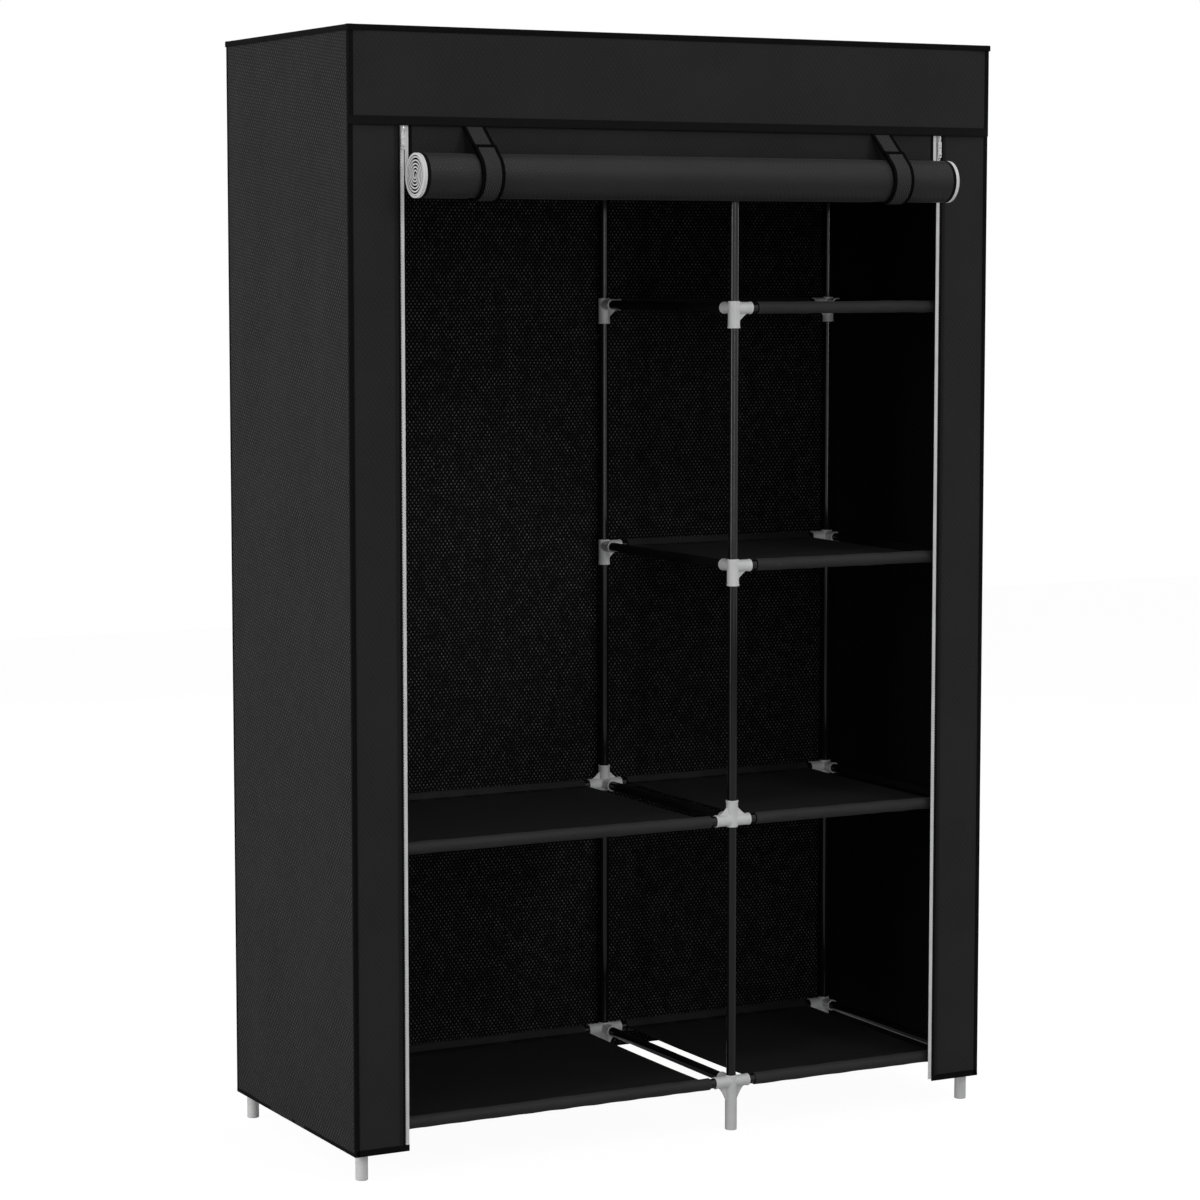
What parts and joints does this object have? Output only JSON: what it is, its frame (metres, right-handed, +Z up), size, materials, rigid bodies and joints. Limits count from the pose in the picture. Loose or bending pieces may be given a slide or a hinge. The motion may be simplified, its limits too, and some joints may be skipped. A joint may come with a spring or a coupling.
{
  "type": "portable fabric wardrobe",
  "caption": "Free-standing wardrobe: plugged tube frame with cloth shelves and a hanging bay under a sewn cloth cover, its zipped door rolled up and strapped.",
  "frame": {"origin": "on the floor plane at the feet, at the middle of the overall width and of the overall depth, the rolled door included", "axes": "+X to the right seen from the front, +Y to the back, +Z up; the door faces -Y"},
  "size_m": [1.096, 0.5299, 1.6801],
  "materials": {
    "connector_plastic": "light grey moulded plastic, satin",
    "tube_steel": "dark grey powder coat, semi-gloss",
    "shelf_cloth": "black non-woven cloth, matt",
    "cover_cloth": "black non-woven cloth with a fine pressed grain, matt",
    "strap_webbing": "black hook-and-loop strap, matt",
    "zip_tape": "white woven zip tape",
    "zip_metal": "nickel-plated, satin"
  },
  "bodies": {
    "root": {"crossbar_left_floor": "connector_plastic", "crossbar_left_lower": "connector_plastic", "crossbar_left_top": "connector_plastic", "crossbar_centre_floor": "connector_plastic", "crossbar_centre_lower": "connector_plastic", "crossbar_centre_middle": "connector_plastic", "crossbar_centre_upper": "connector_plastic", "crossbar_centre_top": "connector_plastic", "crossbar_right_floor": "connector_plastic", "crossbar_right_lower": "connector_plastic", "crossbar_right_middle": "connector_plastic", "crossbar_right_upper": "connector_plastic", "crossbar_right_top": "connector_plastic", "pole_front_left": "tube_steel", "pole_front_centre": "tube_steel", "pole_front_right": "tube_steel", "pole_back_left": "tube_steel", "pole_back_centre": "tube_steel", "pole_back_right": "tube_steel", "shelf_tube_left_floor_front": "tube_steel", "shelf_tube_left_floor_back": "tube_steel", "shelf_tube_left_lower_front": "tube_steel", "shelf_tube_left_lower_back": "tube_steel", "shelf_tube_right_floor_front": "tube_steel", "shelf_tube_right_floor_back": "tube_steel", "shelf_tube_right_lower_front": "tube_steel", "shelf_tube_right_lower_back": "tube_steel", "shelf_tube_right_middle_front": "tube_steel", "shelf_tube_right_middle_back": "tube_steel", "shelf_tube_right_upper_front": "tube_steel", "shelf_tube_right_upper_back": "tube_steel", "top_rail_left_front": "tube_steel", "top_rail_left_back": "tube_steel", "top_rail_right_front": "tube_steel", "top_rail_right_back": "tube_steel", "hanging_rail": "tube_steel", "shelf_left_floor": "shelf_cloth", "shelf_left_lower": "shelf_cloth", "shelf_right_floor": "shelf_cloth", "shelf_right_lower": "shelf_cloth", "shelf_right_middle": "shelf_cloth", "shelf_right_upper": "shelf_cloth", "cover_top": "cover_cloth", "cover_left_side": "cover_cloth", "cover_right_side": "cover_cloth", "cover_back": "cover_cloth", "cover_front_frame": "cover_cloth", "header_flap": "cover_cloth", "door_sheet": "cover_cloth", "strap_left": "strap_webbing", "strap_right": "strap_webbing", "zip_tape_left": "zip_tape", "zip_tape_right": "zip_tape"},
    "door": {"door_roll": "cover_cloth"},
    "zip_slider_left": {"zip_slider_left": "zip_metal"},
    "zip_slider_right": {"zip_slider_right": "zip_metal"},
    "zip_pull_left": {"zip_pull_left": "zip_metal"},
    "zip_pull_right": {"zip_pull_right": "zip_metal"},
    "strap_end_left": {"strap_end_left": "strap_webbing"},
    "strap_end_right": {"strap_end_right": "strap_webbing"}
  },
  "joints": [
    {"name": "door_drop", "type": "slide", "parent": "root", "child": "door", "axis": [0, 0, 1], "range_m": [-1.39, 0], "deforming": ["door_sheet"]},
    {"name": "zip_left_run", "type": "slide", "parent": "root", "child": "zip_slider_left", "axis": [0, 0, 1], "range_m": [-1.47, 0]},
    {"name": "zip_left_pull_swing", "type": "hinge", "parent": "zip_slider_left", "child": "zip_pull_left", "pos_m": [-0.4627, -0.19845, 1.5366], "axis": [-1, 0, 0], "range_deg": [0, 150]},
    {"name": "strap_left_peel", "type": "hinge", "parent": "root", "child": "strap_end_left", "pos_m": [-0.349, -0.1925, 1.468], "axis": [-1, 0, 0], "range_deg": [-95, 0], "deforming": ["strap_end_left"]},
    {"name": "zip_right_run", "type": "slide", "parent": "root", "child": "zip_slider_right", "axis": [0, 0, 1], "range_m": [-1.47, 0]},
    {"name": "zip_right_pull_swing", "type": "hinge", "parent": "zip_slider_right", "child": "zip_pull_right", "pos_m": [0.4562, -0.19845, 1.5366], "axis": [-1, 0, 0], "range_deg": [0, 150]},
    {"name": "strap_right_peel", "type": "hinge", "parent": "root", "child": "strap_end_right", "pos_m": [0.349, -0.1925, 1.468], "axis": [-1, 0, 0], "range_deg": [-95, 0], "deforming": ["strap_end_right"]}
  ]
}
